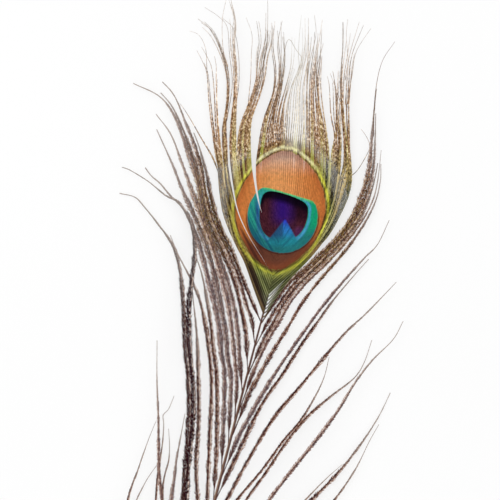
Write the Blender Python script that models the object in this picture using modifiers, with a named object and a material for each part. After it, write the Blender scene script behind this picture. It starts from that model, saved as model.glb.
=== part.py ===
"""Peacock eye feather, cut short and lying on a surface with its display side up.

Frame: metres, +Z up. The origin is on the surface, under the shaft at the middle of the
feather's length. +Y runs along the shaft from the cut end to the crest, and +X to the
right of the eye. Routes below are written in millimetres, seen from above, root first.

Pieces: the shaft, the four plates of hooked barbs that carry the eye (two splits part the
vane's left side, and the shaft parts left from right), the locks of free barb tips of the
crest, and the loose barbs (herls) below.
"""
import math

import bmesh
import bpy
from mathutils import Vector

MM = 0.001

# Shaft
SHAFT_ROUTE = [(0.0, -150.0), (0.0, -75.0), (0.0, 0.0), (0.1, 40.0), (0.1, 58.0), (-0.6, 68.0)]
SHAFT_BUTT_RADIUS = 0.95
SHAFT_TIP_RADIUS = 0.22
SHAFT_POINTS = 28
SHAFT_FLAT = -0.72
SHAFT_LIFT_START = 12.0
SHAFT_LIFT_END = 66.0
SHAFT_LIFT = 2.0

# Loose barbs
ROOT_Z = 0.72
HERL_POINTS = 15
HERL_THICKNESS = 0.34
TOUCH_Z = HERL_THICKNESS / 2

# Plates and crest
PLATE_THICKNESS = 0.4
PLATE_ALONG = 13
PLATE_ACROSS = 5
PLATE_EDGE_Z = 1.5
PLATE_CROWN = 2.2
EYE_CENTRE = (-3.5, 72.0)
EYE_REACH = (31.0, 46.0)
LOCK_THICKNESS = 0.4
LOCK_POINTS = 14

# Splits of the vane and its outer edges, from the shaft to the foot of the crest
LEFT_EDGE = [(-1.1, 31.0), (-5.8, 37.7), (-12.5, 47.6), (-18.4, 54.3), (-25.0, 63.2),
             (-29.0, 72.0), (-31.6, 79.5)]
OUTER_SPLIT = [(-1.1, 46.2), (-4.0, 49.2), (-9.0, 53.9), (-14.8, 59.8), (-20.5, 67.4),
               (-25.4, 77.5), (-28.2, 84.2)]
INNER_SPLIT = [(-1.1, 57.6), (-3.5, 60.0), (-7.0, 63.8), (-11.6, 70.0), (-15.6, 78.2),
               (-18.2, 85.4), (-19.3, 90.0)]
LEFT_MIDDLE = [(-1.0, 61.0), (-3.0, 64.0), (-5.6, 68.5), (-8.5, 74.5), (-11.0, 82.0),
               (-12.7, 89.0), (-13.6, 94.0)]
AXIS = [(-0.9, 64.5), (-1.1, 67.0), (-1.6, 71.0), (-2.8, 78.0), (-4.4, 86.0),
        (-6.0, 93.0), (-7.4, 100.0)]
RIGHT_MIDDLE = [(1.1, 51.0), (4.2, 54.8), (8.0, 60.5), (10.8, 67.5), (11.8, 76.0),
                (11.3, 86.0), (9.4, 95.6)]
RIGHT_EDGE = [(1.1, 38.6), (4.5, 44.0), (8.7, 50.6), (12.9, 57.4), (15.9, 62.9),
              (18.2, 67.6), (20.6, 77.7), (21.4, 82.6)]
SPLIT_GAP = 0.5

PLATES = [
    ("eye_plate_left_outer", [LEFT_EDGE, OUTER_SPLIT]),
    ("eye_plate_left_middle", [OUTER_SPLIT, INNER_SPLIT]),
    ("eye_plate_left_inner", [INNER_SPLIT, LEFT_MIDDLE, AXIS]),
    ("eye_plate_right", [AXIS, RIGHT_MIDDLE, RIGHT_EDGE]),
]

# Crest locks: width at the foot, height of the tip, route
CREST_LOCKS = [
    (1.2, 3.5, [(-32.5, 80.5), (-35.8, 88.1), (-39.6, 98.8), (-42.9, 108.6), (-46.2, 117.8),
                (-51.0, 123.7), (-55.6, 128.4)]),
    (1.2, 6.0, [(-30.9, 82.0), (-33.6, 88.8), (-36.6, 96.8), (-39.4, 105.2), (-42.3, 114.5),
                (-44.4, 121.2), (-47.1, 125.5)]),
    (1.6, 0.3, [(-28.6, 85.4), (-31.0, 93.0), (-33.3, 100.4), (-35.2, 112.1), (-38.2, 121.5),
                (-43.7, 130.3), (-48.8, 135.8), (-53.9, 138.1)]),
    (1.8, 5.0, [(-26.3, 87.6), (-28.9, 96.0), (-31.2, 105.3), (-33.0, 114.0), (-35.6, 123.5),
                (-38.6, 131.4), (-40.4, 139.6), (-44.8, 147.5)]),
    (4.2, 2.4, [(-23.2, 90.4), (-24.9, 96.8), (-26.0, 104.0), (-25.0, 113.0), (-24.9, 121.0),
                (-26.4, 129.5), (-27.0, 137.0), (-30.4, 148.3)]),
    (2.4, 7.5, [(-17.6, 93.6), (-18.2, 99.6), (-18.6, 107.1), (-17.8, 118.0), (-19.1, 126.5),
                (-22.2, 135.0), (-23.3, 142.8)]),
    (1.6, 0.3, [(-14.0, 95.6), (-15.1, 102.0), (-15.9, 110.0), (-16.1, 120.0), (-16.9, 129.6),
                (-18.6, 136.4), (-21.0, 143.7)]),
    (1.8, 4.2, [(-10.9, 98.6), (-12.2, 105.4), (-13.3, 113.0), (-13.6, 121.0), (-14.2, 129.0),
                (-15.6, 134.5), (-16.6, 138.4)]),
    (1.8, 8.0, [(-6.8, 101.2), (-8.4, 108.3), (-10.1, 115.6), (-10.8, 122.5), (-9.8, 129.0),
                (-11.4, 135.0), (-13.9, 149.6)]),
    (1.8, 3.0, [(-0.8, 101.0), (-2.3, 108.0), (-4.4, 114.5), (-6.4, 120.7), (-7.4, 127.1),
                (-8.0, 135.6), (-10.6, 146.0)]),
    (2.6, 6.4, [(3.4, 99.8), (1.4, 107.0), (-1.0, 114.0), (-3.2, 121.0), (-4.8, 128.2),
                (-5.6, 137.6), (-7.1, 149.4)]),
    (2.8, 0.3, [(9.0, 96.8), (6.6, 104.0), (3.6, 111.4), (0.6, 118.6), (-1.6, 125.4),
                (-2.9, 133.3), (-5.2, 143.8)]),
    (1.5, 5.5, [(14.9, 91.9), (13.9, 98.0), (12.5, 104.6), (9.9, 111.5), (7.9, 118.4),
                (6.3, 124.5), (4.6, 130.0)]),
    (2.4, 2.2, [(20.4, 85.8), (20.4, 90.6), (19.0, 96.6), (16.6, 103.4), (13.6, 110.6),
                (10.9, 118.4), (8.4, 128.0), (6.8, 139.0), (4.4, 151.7)]),
    (1.4, 7.0, [(22.6, 90.4), (22.4, 95.4), (20.9, 101.0), (18.2, 107.2), (15.6, 114.4),
                (13.2, 121.4), (11.0, 131.0), (9.6, 141.0), (10.3, 153.0)]),
    (0.9, 7.0, [(-33.6, 80.2), (-37.0, 85.4), (-43.0, 92.0), (-49.2, 98.0), (-54.5, 103.0)]),
]

# Loose barbs: full width, rise of the bow, height of the tip, route
LEFT_HERLS = [
    (1.4, 1.0, 0.6, [(-1.2, 27.6), (-5.4, 33.0), (-10.6, 40.0), (-17.8, 50.0), (-26.2, 60.0),
                     (-32.0, 70.0), (-35.8, 78.0), (-41.0, 87.0), (-44.8, 92.4)]),
    (1.4, 2.2, 4.4, [(-1.2, 19.5), (-3.8, 26.0), (-7.6, 31.6), (-12.8, 40.5), (-20.0, 50.0),
                     (-28.6, 60.5), (-34.2, 70.0), (-38.4, 79.5), (-44.2, 89.0), (-49.4, 96.1),
                     (-53.8, 102.2), (-57.3, 105.9), (-61.8, 108.8)]),
    (1.5, 1.4, 0.2, [(-1.2, 9.0), (-4.6, 20.0), (-9.4, 30.0), (-14.8, 40.0), (-22.0, 49.6),
                     (-30.4, 60.0), (-36.0, 70.6), (-41.2, 80.6), (-46.4, 88.6), (-51.6, 95.6),
                     (-56.4, 101.0), (-61.5, 104.6)]),
    (1.5, 3.0, 1.8, [(-1.2, 0.0), (-4.6, 10.0), (-8.0, 20.0), (-11.8, 29.0), (-17.4, 39.0),
                     (-24.2, 49.0), (-32.0, 60.0), (-38.6, 74.0), (-46.2, 86.0), (-54.0, 97.0),
                     (-61.8, 103.1), (-73.0, 105.5)]),
    (1.5, 3.0, 6.5, [(-1.2, -10.0), (-3.2, 0.0), (-6.7, 10.0), (-10.4, 20.0), (-14.2, 29.0),
                     (-19.8, 39.4), (-26.2, 50.0), (-33.4, 60.4), (-39.6, 69.6), (-46.4, 79.6),
                     (-53.3, 89.3), (-60.9, 95.6)]),
    (1.6, 2.2, 0.2, [(-1.2, -20.5), (-5.6, 0.0), (-9.6, 10.0), (-13.2, 20.0), (-17.5, 29.0),
                     (-22.9, 40.0), (-28.8, 50.0), (-36.0, 60.0), (-42.8, 68.2), (-49.9, 78.0),
                     (-59.5, 90.0)]),
    (1.6, 4.6, 0.6, [(-1.2, -31.5), (-8.2, 0.0), (-12.1, 10.0), (-15.7, 20.0), (-20.0, 29.0),
                     (-25.5, 39.0), (-31.2, 49.0), (-37.4, 58.4), (-43.0, 63.6), (-47.0, 65.4),
                     (-52.6, 69.4), (-57.0, 71.6), (-60.0, 74.0)]),
    (1.6, 3.4, 0.2, [(-1.2, -44.0), (-5.2, -24.0), (-11.4, 0.0), (-15.3, 10.0), (-19.0, 20.0),
                     (-23.0, 29.0), (-27.6, 38.6), (-33.5, 47.5)]),
    (1.5, 6.0, 4.0, [(-1.2, -56.0), (-7.2, -28.4), (-12.4, -4.3), (-16.5, 8.3), (-21.5, 20.5),
                     (-26.6, 29.8), (-31.2, 35.6), (-38.6, 43.8), (-43.5, 50.4)]),
    (1.5, 3.2, 3.6, [(-1.2, -70.0), (-6.6, -49.2), (-10.7, -35.7), (-14.2, -18.0), (-18.2, -3.0),
                     (-21.6, 9.0), (-24.6, 18.0), (-28.0, 27.0), (-30.2, 33.0)]),
    (1.8, 7.4, 2.2, [(-1.2, -87.0), (-6.0, -66.0), (-10.9, -50.2), (-13.6, -36.3), (-16.5, -18.0),
                     (-19.6, -5.6), (-23.1, 4.2), (-26.4, 14.0), (-29.2, 24.6), (-30.9, 35.6),
                     (-32.5, 46.8), (-36.7, 56.9), (-43.2, 63.7), (-49.6, 65.5), (-57.2, 69.0),
                     (-65.5, 71.6), (-69.0, 72.0)]),
    (1.8, 4.8, 0.2, [(-1.2, -94.0), (-7.0, -68.0), (-12.2, -50.8), (-14.8, -36.8), (-18.4, -17.0),
                     (-22.5, -2.8), (-28.2, 14.0), (-32.4, 27.2), (-36.4, 38.0), (-41.6, 46.8),
                     (-50.3, 54.2), (-56.3, 58.7), (-61.2, 61.7), (-67.4, 61.7)]),
    (1.3, 2.6, 1.2, [(-1.2, -106.0), (-8.0, -82.0), (-13.6, -64.0), (-16.8, -51.9),
                     (-17.9, -42.5), (-18.9, -35.3), (-19.4, -28.0), (-20.2, -17.2)]),
    (1.1, 5.0, 4.2, [(-1.2, -112.0), (-9.0, -88.0), (-16.0, -65.0), (-21.8, -48.6),
                     (-25.2, -38.8), (-29.8, -21.6), (-34.2, -6.9), (-38.2, 8.5)]),
    (0.9, 2.0, 0.2, [(-1.2, -119.0), (-10.6, -92.0), (-18.6, -69.0), (-23.0, -52.0),
                     (-25.0, -38.8), (-25.9, -30.8), (-27.3, -23.4), (-28.5, -19.8),
                     (-27.0, -17.0), (-26.2, -11.3)]),
    (0.9, 1.2, 0.2, [(-1.2, -100.0), (-8.4, -79.0), (-16.0, -62.0), (-20.6, -51.0),
                     (-21.8, -44.0), (-21.8, -37.0), (-22.9, -31.2), (-25.0, -24.7)]),
    (0.9, 3.4, 2.0, [(-1.2, -125.0), (-14.0, -99.0), (-27.0, -76.0), (-33.3, -58.0),
                     (-32.6, -42.0), (-31.6, -30.0), (-30.6, -22.6)]),
    (0.9, 1.4, 0.2, [(-1.2, -131.0), (-14.0, -106.0), (-25.6, -80.0), (-30.4, -62.0),
                     (-29.0, -49.0), (-25.3, -38.0)]),
    (1.2, 1.6, 0.2, [(-1.2, -138.0), (-12.0, -116.0), (-24.0, -98.0), (-38.0, -84.0),
                     (-50.0, -77.0)]),
    (1.2, 0.5, 0.2, [(-1.2, -143.0), (-10.0, -130.0), (-22.0, -119.0), (-36.0, -111.0),
                     (-46.0, -108.0)]),
]
RIGHT_HERLS = [
    (1.5, 1.0, 4.4, [(1.2, 28.4), (3.2, 34.7), (7.1, 44.2), (13.8, 54.4), (20.0, 64.4),
                     (24.3, 74.0), (26.0, 83.0), (26.6, 91.0), (26.2, 98.0), (24.8, 106.0),
                     (22.9, 117.0), (21.3, 127.4)]),
    (1.5, 2.0, 1.8, [(1.2, 20.0), (2.6, 26.0), (5.6, 35.3), (9.5, 44.8), (15.8, 54.9),
                     (21.7, 64.9), (26.0, 74.5), (27.9, 83.4), (28.4, 92.0), (27.6, 100.0),
                     (26.0, 107.5), (23.6, 118.0)]),
    (1.5, 1.4, 0.2, [(1.2, 9.5), (2.9, 19.3), (5.0, 26.7), (7.3, 35.7), (11.5, 45.3),
                     (17.8, 55.4), (23.1, 65.2), (27.5, 74.9), (29.4, 83.8), (29.8, 92.0),
                     (29.4, 99.0)]),
    (1.4, 3.2, 3.2, [(1.2, -3.0), (2.2, 7.0), (4.5, 19.7), (6.7, 27.1), (9.2, 36.1),
                     (13.6, 45.8), (19.8, 55.9), (24.9, 65.7), (28.9, 75.2), (31.0, 84.2),
                     (30.9, 92.6), (29.3, 104.4)]),
    (1.6, 1.8, 0.2, [(1.2, -14.0), (2.6, -3.5), (4.3, 3.8), (6.7, 12.8), (9.1, 20.9),
                     (11.4, 28.3), (13.9, 37.0), (18.0, 47.0), (22.9, 56.7), (27.2, 66.0),
                     (30.5, 75.6), (32.3, 84.4), (32.1, 92.8), (30.7, 99.0)]),
    (1.6, 3.4, 2.2, [(1.2, -32.0), (3.1, -19.4), (7.9, -1.0), (12.5, 13.2), (17.1, 25.5),
                     (21.3, 36.2), (25.7, 45.9), (29.5, 53.5), (33.6, 61.2), (37.3, 67.7),
                     (39.4, 78.0)]),
    (1.6, 2.0, 0.2, [(1.2, -43.0), (4.7, -25.3), (8.4, -6.6), (13.4, 7.4), (18.0, 21.4),
                     (22.8, 34.0), (25.4, 40.8), (28.6, 47.6), (32.0, 54.5), (35.4, 61.0)]),
    (1.6, 3.6, 4.0, [(1.2, -57.0), (4.6, -46.0), (8.0, -32.0), (11.8, -18.0), (15.6, -7.0),
                     (21.0, 4.0), (26.4, 15.6), (33.3, 29.8), (40.0, 40.4), (48.2, 54.9)]),
    (1.3, 6.4, 7.5, [(1.2, -66.0), (4.5, -54.5), (9.5, -42.5), (15.4, -30.0), (20.3, -17.4),
                     (24.9, -7.9), (28.0, 2.3), (29.7, 11.0), (29.7, 19.4)]),
    (1.3, 2.2, 0.2, [(1.2, -76.0), (6.0, -60.0), (11.5, -45.5), (17.0, -31.6), (22.1, -17.4),
                     (27.2, -6.4), (33.9, 3.5), (41.5, 13.4), (44.0, 20.5), (44.8, 29.9)]),
    (1.6, 5.2, 3.4, [(1.2, -90.0), (8.0, -72.0), (15.0, -55.0), (20.5, -42.2), (27.1, -26.7),
                     (33.0, -13.8), (38.4, -0.4), (42.0, 11.4), (46.7, 22.4), (52.7, 32.5),
                     (54.8, 40.4)]),
    (1.7, 2.4, 0.2, [(1.2, -108.0), (9.0, -92.0), (19.4, -72.0), (30.0, -50.0), (38.0, -36.6),
                     (45.0, -24.4), (50.7, -11.6), (54.9, 0.7), (57.2, 11.4)]),
    (1.2, 4.6, 3.4, [(1.2, -103.0), (9.4, -86.0), (19.0, -68.0), (28.6, -49.4), (36.0, -36.0),
                     (40.8, -27.8), (45.6, -20.8)]),
    (1.3, 1.2, 2.2, [(1.2, -121.0), (12.0, -102.0), (25.0, -77.0), (38.0, -52.0), (46.1, -35.6),
                     (51.2, -21.6), (53.8, -9.4), (55.8, -1.9)]),
    (1.2, 3.0, 0.2, [(1.2, -131.0), (12.0, -116.0), (26.0, -98.0), (40.0, -80.0), (52.0, -66.0),
                     (60.0, -52.0)]),
    (1.2, 1.4, 2.6, [(1.2, -139.0), (11.0, -128.0), (24.0, -113.0), (38.0, -98.0), (50.0, -88.0)]),
]

COLOURS = {
    "shaft": (0.24, 0.15, 0.10),
    "eye_plate": (0.52, 0.20, 0.06),
    "crest_lock": (0.22, 0.17, 0.09),
    "herl": (0.09, 0.05, 0.04),
}


def principled(name, colour, roughness, metallic):
    """Make a material with one Principled BSDF."""
    material = bpy.data.materials.new(name)
    material.use_nodes = True
    shader = material.node_tree.nodes["Principled BSDF"]
    shader.inputs["Base Color"].default_value = (*colour, 1.0)
    shader.inputs["Roughness"].default_value = roughness
    shader.inputs["Metallic"].default_value = metallic
    return material


def smooth_step(start, end, value):
    """Ease from 0 at start to 1 at end."""
    part = min(max((value - start) / (end - start), 0.0), 1.0)
    return part * part * (3.0 - 2.0 * part)


def catmull_rom(before, first, second, after, part):
    """Point between first and second on a smooth curve through all four."""
    return 0.5 * ((2.0 * first) + (second - before) * part
                  + (2.0 * before - 5.0 * first + 4.0 * second - after) * part ** 2
                  + (3.0 * first - before - 3.0 * second + after) * part ** 3)


def sample_route(route, count):
    """Evenly spaced points on the smooth curve through a route of (x, y) pairs."""
    knots = [Vector(pair) for pair in route]
    knots = [2.0 * knots[0] - knots[1]] + knots + [2.0 * knots[-1] - knots[-2]]
    fine = []
    for index in range(1, len(knots) - 2):
        for step in range(12):
            fine.append(catmull_rom(*knots[index - 1:index + 3], step / 12))
    fine.append(knots[-2])
    travelled = [0.0]
    for here, there in zip(fine, fine[1:]):
        travelled.append(travelled[-1] + (there - here).length)
    points = []
    segment = 0
    for index in range(count):
        wanted = travelled[-1] * index / (count - 1)
        while segment < len(fine) - 2 and travelled[segment + 1] < wanted:
            segment += 1
        stretch = travelled[segment + 1] - travelled[segment]
        part = (wanted - travelled[segment]) / stretch
        points.append(fine[segment].lerp(fine[segment + 1], part))
    return points


def eye_height(x, y):
    """Height of the middle of the vane, a shallow dome around the eye."""
    across = (x - EYE_CENTRE[0]) / EYE_REACH[0]
    along = (y - EYE_CENTRE[1]) / EYE_REACH[1]
    return PLATE_EDGE_Z + PLATE_CROWN * max(0.0, 1.0 - across ** 2 - along ** 2)


def shaft_lift(y):
    """Height of the shaft's flat underside: on the surface, then up to the vane."""
    return SHAFT_LIFT * smooth_step(SHAFT_LIFT_START, SHAFT_LIFT_END, y)


def new_profile(name, corners):
    """Closed flat outline that a curve carries along its length."""
    curve = bpy.data.curves.new(name, "CURVE")
    curve.dimensions = "2D"
    spline = curve.splines.new("POLY")
    spline.points.add(len(corners) - 1)
    for point, (x, y) in zip(spline.points, corners):
        point.co = (x, y, 0.0, 1.0)
    spline.use_cyclic_u = True
    profile = bpy.data.objects.new(name, curve)
    profile.hide_render = True
    profile.display_type = "WIRE"
    guides.objects.link(profile)
    return profile


def new_strand(name, points, radii, profile, material):
    """Curve object that carries the profile along the points (metres), with closed ends."""
    curve = bpy.data.curves.new(name, "CURVE")
    curve.dimensions = "3D"
    curve.twist_mode = "Z_UP"
    curve.bevel_mode = "OBJECT"
    curve.bevel_object = profile
    curve.use_fill_caps = True
    spline = curve.splines.new("POLY")
    spline.points.add(len(points) - 1)
    for point, place, radius in zip(spline.points, points, radii):
        point.co = (*place, 1.0)
        point.radius = radius
    curve.materials.append(material)
    strand = bpy.data.objects.new(name, curve)
    parts.objects.link(strand)
    return strand


def herl_radius(part):
    """Width of a loose barb along its length: a bare foot, then even, then a fine tip."""
    foot = 0.45 + 0.55 * smooth_step(0.0, 0.2, part)
    tip = 1.0 - 0.75 * smooth_step(0.62, 1.0, part)
    return foot * tip


def lock_radius(part):
    """Width of a crest lock along its length: widest at the foot, drawn in to a point."""
    return 1.0 - 0.85 * smooth_step(0.0, 1.0, part)


def build_shaft():
    """Round shaft with a flat underside, tapering from the cut end into the eye."""
    corners = []
    for index in range(9):
        angle = math.radians(226.0 - index * 272.0 / 8)
        corners.append((math.cos(angle) * MM, max(math.sin(angle), SHAFT_FLAT) * MM))
    profile = new_profile("shaft_profile", corners)
    points = []
    radii = []
    for index, place in enumerate(sample_route(SHAFT_ROUTE, SHAFT_POINTS)):
        part = index / (SHAFT_POINTS - 1)
        radius = SHAFT_BUTT_RADIUS + (SHAFT_TIP_RADIUS - SHAFT_BUTT_RADIUS) * part
        height = shaft_lift(place.y) - SHAFT_FLAT * radius
        points.append(Vector((place.x, place.y, height)) * MM)
        radii.append(radius)
    material = principled("shaft", COLOURS["shaft"], 0.45, 0.0)
    return new_strand("shaft", points, radii, profile, material)


def build_herls(side, herls):
    """Loose barbs of one side, each a flat ribbon that bows up and comes down at its tip."""
    material = principled(f"herl_{side}", COLOURS["herl"], 0.55, 0.2)
    for number, (width, rise, tip_z, route) in enumerate(herls, start=1):
        name = f"herl_{side}_{number:02d}"
        half = width / 2 * MM
        thin = HERL_THICKNESS / 2 * MM
        profile = new_profile(f"{name}_profile", [(-half, 0.0), (0.0, thin), (half, 0.0), (0.0, -thin)])
        root_z = ROOT_Z + shaft_lift(route[0][1])
        points = []
        radii = []
        for index, place in enumerate(sample_route(route, HERL_POINTS)):
            part = index / (HERL_POINTS - 1)
            height = root_z + (tip_z - root_z) * part ** 2 + 4.0 * rise * part * (1.0 - part)
            points.append(Vector((place.x, place.y, max(height, TOUCH_Z))) * MM)
            radii.append(herl_radius(part))
        new_strand(name, points, radii, profile, material)


def build_crest():
    """Locks of free barb tips, which run on from the top edge of the vane."""
    material = principled("crest_lock", COLOURS["crest_lock"], 0.6, 0.1)
    for number, (width, tip_z, route) in enumerate(CREST_LOCKS, start=1):
        name = f"crest_lock_{number:02d}"
        half = width / 2 * MM
        thin = LOCK_THICKNESS / 2 * MM
        profile = new_profile(f"{name}_profile", [(-half, 0.0), (0.0, thin), (half, 0.0), (0.0, -thin)])
        foot_z = eye_height(*route[0])
        points = []
        radii = []
        for index, place in enumerate(sample_route(route, LOCK_POINTS)):
            part = index / (LOCK_POINTS - 1)
            height = foot_z + (tip_z - foot_z) * part ** 1.5
            points.append(Vector((place.x, place.y, height)) * MM)
            radii.append(lock_radius(part))
        new_strand(name, points, radii, profile, material)


def plate_point(guide_points, across, along):
    """Place on a plate, from one guide line over to the last one, kept off the splits."""
    last = len(guide_points) - 1
    left = min(int(across * last), last - 1)
    part = across * last - left
    here = guide_points[left][along].lerp(guide_points[left + 1][along], part)
    over = guide_points[-1][along] - guide_points[0][along]
    inset = over.normalized() * SPLIT_GAP / 2 if over.length > 0 else Vector((0.0, 0.0))
    return here + inset * (1.0 - 2.0 * across)


def build_plates():
    """Plates of hooked barbs: a grid laid between the vane's splits, then thickened."""
    material = principled("eye_plate", COLOURS["eye_plate"], 0.4, 0.5)
    for name, guide_routes in PLATES:
        guide_points = [sample_route(route, PLATE_ALONG) for route in guide_routes]
        columns = PLATE_ACROSS if len(guide_routes) == 2 else 2 * PLATE_ACROSS - 1
        mesh = bpy.data.meshes.new(name)
        grid = bmesh.new()
        bmesh.ops.create_grid(grid, x_segments=columns - 1, y_segments=PLATE_ALONG - 1, size=0.5)
        for vertex in grid.verts:
            across = vertex.co.x + 0.5
            along = round((vertex.co.y + 0.5) * (PLATE_ALONG - 1))
            place = plate_point(guide_points, across, along)
            vertex.co = Vector((place.x, place.y, eye_height(place.x, place.y))) * MM
        grid.to_mesh(mesh)
        grid.free()
        mesh.materials.append(material)
        plate = bpy.data.objects.new(name, mesh)
        parts.objects.link(plate)
        solidify = plate.modifiers.new("thickness", "SOLIDIFY")
        solidify.thickness = PLATE_THICKNESS * MM
        solidify.offset = 0.0


for old in list(bpy.data.objects):
    bpy.data.objects.remove(old, do_unlink=True)
parts = bpy.data.collections.new("peacock_eye_feather")
guides = bpy.data.collections.new("profiles")
bpy.context.scene.collection.children.link(parts)
bpy.context.scene.collection.children.link(guides)

build_shaft()
build_plates()
build_crest()
build_herls("left", LEFT_HERLS)
build_herls("right", RIGHT_HERLS)
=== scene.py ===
"""Looks of the peacock eye feather: each barb with its barbules, the eye's colours, floor, light, camera.

Routes are in millimetres in the part's own frame: +Y along the shaft to the crest, +X to the right of
the eye, seen from above with the display side up. They repeat the part's own routes.
"""
import math

import bpy
import numpy as np
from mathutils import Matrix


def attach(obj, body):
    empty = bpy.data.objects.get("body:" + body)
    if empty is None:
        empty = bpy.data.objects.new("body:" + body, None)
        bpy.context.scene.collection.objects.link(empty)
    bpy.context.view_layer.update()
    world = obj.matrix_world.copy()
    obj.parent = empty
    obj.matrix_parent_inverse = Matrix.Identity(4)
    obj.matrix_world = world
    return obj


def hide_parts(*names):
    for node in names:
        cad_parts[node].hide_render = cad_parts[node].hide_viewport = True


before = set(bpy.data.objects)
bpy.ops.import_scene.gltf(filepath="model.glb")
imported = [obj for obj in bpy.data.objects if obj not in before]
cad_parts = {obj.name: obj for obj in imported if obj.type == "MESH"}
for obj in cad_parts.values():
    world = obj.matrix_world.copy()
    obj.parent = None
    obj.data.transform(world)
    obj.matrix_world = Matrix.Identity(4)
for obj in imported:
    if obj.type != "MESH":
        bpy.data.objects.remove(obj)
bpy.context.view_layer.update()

MM = 0.001
rng = np.random.default_rng(41)

# Driving sizes, the same as the part's
SHAFT_ROUTE = [(0, -150), (0, -75), (0, 0), (0.1, 40), (0.1, 58), (-0.6, 68)]
SHAFT_BUTT_RADIUS = 0.95
SHAFT_TIP_RADIUS = 0.22
SHAFT_LIFT_START = 12.0
SHAFT_LIFT_END = 66.0
SHAFT_LIFT = 2.0
ROOT_Z = 0.72
VANE_EDGE_Z = 1.5
VANE_CROWN = 2.2
EYE_CENTRE = (-3.5, 72.0)
EYE_REACH = (31.0, 46.0)

# The splits of the vane and its outer edges
LEFT_EDGE = [(-1.1, 31), (-5.8, 37.7), (-12.5, 47.6), (-18.4, 54.3), (-25, 63.2), (-29, 72),
             (-31.6, 79.5)]
OUTER_SPLIT = [(-1.1, 46.2), (-4, 49.2), (-9, 53.9), (-14.8, 59.8), (-20.5, 67.4), (-25.4, 77.5),
               (-28.2, 84.2)]
INNER_SPLIT = [(-1.1, 57.6), (-3.5, 60), (-7, 63.8), (-11.6, 70), (-15.6, 78.2), (-18.2, 85.4),
               (-19.3, 90)]
LEFT_MIDDLE = [(-1, 61), (-3, 64), (-5.6, 68.5), (-8.5, 74.5), (-11, 82), (-12.7, 89), (-13.6, 94)]
AXIS = [(-0.9, 64.5), (-1.1, 67), (-1.6, 71), (-2.8, 78), (-4.4, 86), (-6, 93), (-7.4, 100)]
RIGHT_MIDDLE = [(1.1, 51), (4.2, 54.8), (8, 60.5), (10.8, 67.5), (11.8, 76), (11.3, 86), (9.4, 95.6)]
RIGHT_EDGE = [(1.1, 38.6), (4.5, 44), (8.7, 50.6), (12.9, 57.4), (15.9, 62.9), (18.2, 67.6), (20.6, 77.7),
              (21.4, 82.6)]

# Width of a split over the height that it is at
CLOSED = ([0, 1], [0, 0])
OUTER_GAP = ([46, 56, 62, 72, 84, 90], [0.1, 0.25, 0.5, 0.75, 1, 1.3])
INNER_GAP = ([66, 69, 74, 80, 86, 94], [-0.1, 0.15, 0.8, 1.1, 1.9, 3.2])

# Plates of the vane: number of barbs, splits on the left and right, guides, and the locks they run
# into, each with the share of the plate where it ends
PLATES = [
    ("eye_plate_left_outer", 14, CLOSED, OUTER_GAP, [LEFT_EDGE, OUTER_SPLIT],
     {16: 0.08, 1: 0.3, 2: 0.6, 3: 1}),
    ("eye_plate_left_middle", 18, OUTER_GAP, INNER_GAP, [OUTER_SPLIT, INNER_SPLIT], {4: 0.36, 5: 1}),
    ("eye_plate_left_inner", 18, INNER_GAP, CLOSED, [INNER_SPLIT, LEFT_MIDDLE, AXIS],
     {6: 0.3, 7: 0.58, 8: 0.82, 9: 1}),
    ("eye_plate_right", 44, CLOSED, CLOSED, [AXIS, RIGHT_MIDDLE, RIGHT_EDGE],
     {10: 0.16, 11: 0.34, 12: 0.55, 13: 0.76, 14: 0.9, 15: 1}),
]

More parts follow.
